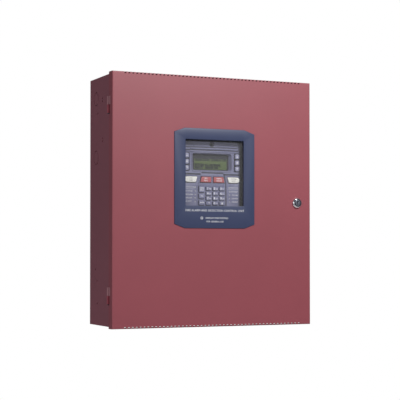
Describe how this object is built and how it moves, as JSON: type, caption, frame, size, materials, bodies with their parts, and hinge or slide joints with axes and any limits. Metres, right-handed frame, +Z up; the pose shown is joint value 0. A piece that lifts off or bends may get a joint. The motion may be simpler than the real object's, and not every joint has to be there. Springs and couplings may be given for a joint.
{
  "type": "fire alarm control panel",
  "caption": "Wall-mounted fire alarm control panel: steel cabinet with hinged, lockable door and a window over a keypad and display.",
  "frame": {"origin": "centre of the cabinet's back face, which lies on the wall", "axes": "+X to the right seen from the front, +Y into the wall, +Z up"},
  "size_m": [0.4301, 0.1383, 0.4892],
  "materials": {
    "door_paint": "semi-matt red powder coat",
    "cabinet_side_paint": "semi-matt dark red powder coat",
    "zinc_steel": "bright zinc plate",
    "chrome_plate": "bright chrome plate",
    "brass": "nickel-free turned brass",
    "circuit_board": "green solder resist",
    "terminal_plastic": "moulded green plastic",
    "capacitor_sleeve": "shrink sleeve",
    "black_plastic": "moulded",
    "black_aluminium": "black anodised",
    "ivory_plastic": "moulded",
    "black_steel": "black finish",
    "lcd_green": "liquid crystal cell over a green backlight",
    "cover_plastic": "fine moulded texture",
    "silicone_rubber": "matt",
    "lamp_plastic": "clear moulded lens",
    "lamination_steel": "varnished laminations",
    "winding_tape": "polyester tape",
    "battery_plastic": "moulded case",
    "wire_insulation": "extruded insulation",
    "bezel_blue_plastic": "moulded slate blue",
    "black_rubber": "matt",
    "clear_polycarbonate": "clear, polished",
    "key_grey_plastic": "moulded",
    "key_white_plastic": "moulded",
    "key_red_plastic": "moulded"
  },
  "bodies": {
    "cabinet": {"backbox": "cabinet_side_paint", "box_hinge_leaves": "cabinet_side_paint", "hinge_pins": "zinc_steel", "chassis": "zinc_steel", "chassis_screws": "zinc_steel", "standoffs": "brass", "main_board": "circuit_board", "terminal_blocks": "terminal_plastic", "capacitors": "capacitor_sleeve", "relays": "black_plastic", "heat_sink": "black_aluminium", "connectors": "ivory_plastic", "microchips": "black_plastic", "sounder": "black_plastic", "display_board": "circuit_board", "display_plate": "black_steel", "lcd_frame": "black_steel", "lcd_glass": "lcd_green", "display_cover": "cover_plastic", "cover_screws": "zinc_steel", "keypad_mat": "silicone_rubber", "status_lamps": "lamp_plastic", "transformer_core": "lamination_steel", "transformer_coil": "winding_tape", "batteries": "battery_plastic", "wiring": "wire_insulation"},
    "door": {"door": "door_paint", "door_hinge_leaves": "door_paint", "window_bezel": "bezel_blue_plastic", "window_gasket": "black_rubber", "window_pane": "clear_polycarbonate", "window_retainer": "zinc_steel", "door_nuts": "zinc_steel", "lock_body": "chrome_plate"},
    "lock": {"lock_plug": "chrome_plate", "lock_cam": "zinc_steel"},
    "key_1": {"key_1": "key_grey_plastic"},
    "key_2": {"key_2": "key_grey_plastic"},
    "key_3": {"key_3": "key_grey_plastic"},
    "key_4": {"key_4": "key_grey_plastic"},
    "key_5": {"key_5": "key_grey_plastic"},
    "key_6": {"key_6": "key_grey_plastic"},
    "key_7": {"key_7": "key_grey_plastic"},
    "key_8": {"key_8": "key_grey_plastic"},
    "key_9": {"key_9": "key_grey_plastic"},
    "key_star": {"key_star": "key_grey_plastic"},
    "key_0": {"key_0": "key_grey_plastic"},
    "key_hash": {"key_hash": "key_grey_plastic"},
    "key_menu": {"key_menu": "key_grey_plastic"},
    "key_enter": {"key_enter": "key_grey_plastic"},
    "key_clear": {"key_clear": "key_grey_plastic"},
    "key_acknowledge": {"key_acknowledge": "key_white_plastic"},
    "key_drill": {"key_drill": "key_red_plastic"},
    "key_silence": {"key_silence": "key_red_plastic"},
    "key_reset": {"key_reset": "key_white_plastic"},
    "key_left_up": {"key_left_up": "key_grey_plastic"},
    "key_left_mid": {"key_left_mid": "key_grey_plastic"},
    "key_left_down": {"key_left_down": "key_grey_plastic"},
    "key_right_up": {"key_right_up": "key_grey_plastic"},
    "key_right_mid": {"key_right_mid": "key_grey_plastic"},
    "key_right_down": {"key_right_down": "key_grey_plastic"}
  },
  "joints": [
    {"name": "door_hinge", "type": "hinge", "parent": "cabinet", "child": "door", "pos_m": [-0.2141, -0.113, 0], "axis": [0, 0, -1], "range_deg": [0, 120]},
    {"name": "lock_turn", "type": "hinge", "parent": "door", "child": "lock", "pos_m": [0.183, -0.125, 0], "axis": [0, -1, 0], "range_deg": [0, 90]},
    {"name": "key_1_press", "type": "slide", "parent": "cabinet", "child": "key_1", "axis": [0, 1, 0], "range_m": [0, 0.0012], "stiffness_N_per_m": 400},
    {"name": "key_2_press", "type": "slide", "parent": "cabinet", "child": "key_2", "axis": [0, 1, 0], "range_m": [0, 0.0012], "stiffness_N_per_m": 400},
    {"name": "key_3_press", "type": "slide", "parent": "cabinet", "child": "key_3", "axis": [0, 1, 0], "range_m": [0, 0.0012], "stiffness_N_per_m": 400},
    {"name": "key_4_press", "type": "slide", "parent": "cabinet", "child": "key_4", "axis": [0, 1, 0], "range_m": [0, 0.0012], "stiffness_N_per_m": 400},
    {"name": "key_5_press", "type": "slide", "parent": "cabinet", "child": "key_5", "axis": [0, 1, 0], "range_m": [0, 0.0012], "stiffness_N_per_m": 400},
    {"name": "key_6_press", "type": "slide", "parent": "cabinet", "child": "key_6", "axis": [0, 1, 0], "range_m": [0, 0.0012], "stiffness_N_per_m": 400},
    {"name": "key_7_press", "type": "slide", "parent": "cabinet", "child": "key_7", "axis": [0, 1, 0], "range_m": [0, 0.0012], "stiffness_N_per_m": 400},
    {"name": "key_8_press", "type": "slide", "parent": "cabinet", "child": "key_8", "axis": [0, 1, 0], "range_m": [0, 0.0012], "stiffness_N_per_m": 400},
    {"name": "key_9_press", "type": "slide", "parent": "cabinet", "child": "key_9", "axis": [0, 1, 0], "range_m": [0, 0.0012], "stiffness_N_per_m": 400},
    {"name": "key_star_press", "type": "slide", "parent": "cabinet", "child": "key_star", "axis": [0, 1, 0], "range_m": [0, 0.0012], "stiffness_N_per_m": 400},
    {"name": "key_0_press", "type": "slide", "parent": "cabinet", "child": "key_0", "axis": [0, 1, 0], "range_m": [0, 0.0012], "stiffness_N_per_m": 400},
    {"name": "key_hash_press", "type": "slide", "parent": "cabinet", "child": "key_hash", "axis": [0, 1, 0], "range_m": [0, 0.0012], "stiffness_N_per_m": 400},
    {"name": "key_menu_press", "type": "slide", "parent": "cabinet", "child": "key_menu", "axis": [0, 1, 0], "range_m": [0, 0.0012], "stiffness_N_per_m": 400},
    {"name": "key_enter_press", "type": "slide", "parent": "cabinet", "child": "key_enter", "axis": [0, 1, 0], "range_m": [0, 0.0012], "stiffness_N_per_m": 400},
    {"name": "key_clear_press", "type": "slide", "parent": "cabinet", "child": "key_clear", "axis": [0, 1, 0], "range_m": [0, 0.0012], "stiffness_N_per_m": 400},
    {"name": "key_acknowledge_press", "type": "slide", "parent": "cabinet", "child": "key_acknowledge", "axis": [0, 1, 0], "range_m": [0, 0.0012], "stiffness_N_per_m": 400},
    {"name": "key_drill_press", "type": "slide", "parent": "cabinet", "child": "key_drill", "axis": [0, 1, 0], "range_m": [0, 0.0012], "stiffness_N_per_m": 400},
    {"name": "key_silence_press", "type": "slide", "parent": "cabinet", "child": "key_silence", "axis": [0, 1, 0], "range_m": [0, 0.0012], "stiffness_N_per_m": 400},
    {"name": "key_reset_press", "type": "slide", "parent": "cabinet", "child": "key_reset", "axis": [0, 1, 0], "range_m": [0, 0.0012], "stiffness_N_per_m": 400},
    {"name": "key_left_up_press", "type": "slide", "parent": "cabinet", "child": "key_left_up", "axis": [0, 1, 0], "range_m": [0, 0.0012], "stiffness_N_per_m": 400},
    {"name": "key_left_mid_press", "type": "slide", "parent": "cabinet", "child": "key_left_mid", "axis": [0, 1, 0], "range_m": [0, 0.0012], "stiffness_N_per_m": 400},
    {"name": "key_left_down_press", "type": "slide", "parent": "cabinet", "child": "key_left_down", "axis": [0, 1, 0], "range_m": [0, 0.0012], "stiffness_N_per_m": 400},
    {"name": "key_right_up_press", "type": "slide", "parent": "cabinet", "child": "key_right_up", "axis": [0, 1, 0], "range_m": [0, 0.0012], "stiffness_N_per_m": 400},
    {"name": "key_right_mid_press", "type": "slide", "parent": "cabinet", "child": "key_right_mid", "axis": [0, 1, 0], "range_m": [0, 0.0012], "stiffness_N_per_m": 400},
    {"name": "key_right_down_press", "type": "slide", "parent": "cabinet", "child": "key_right_down", "axis": [0, 1, 0], "range_m": [0, 0.0012], "stiffness_N_per_m": 400}
  ]
}
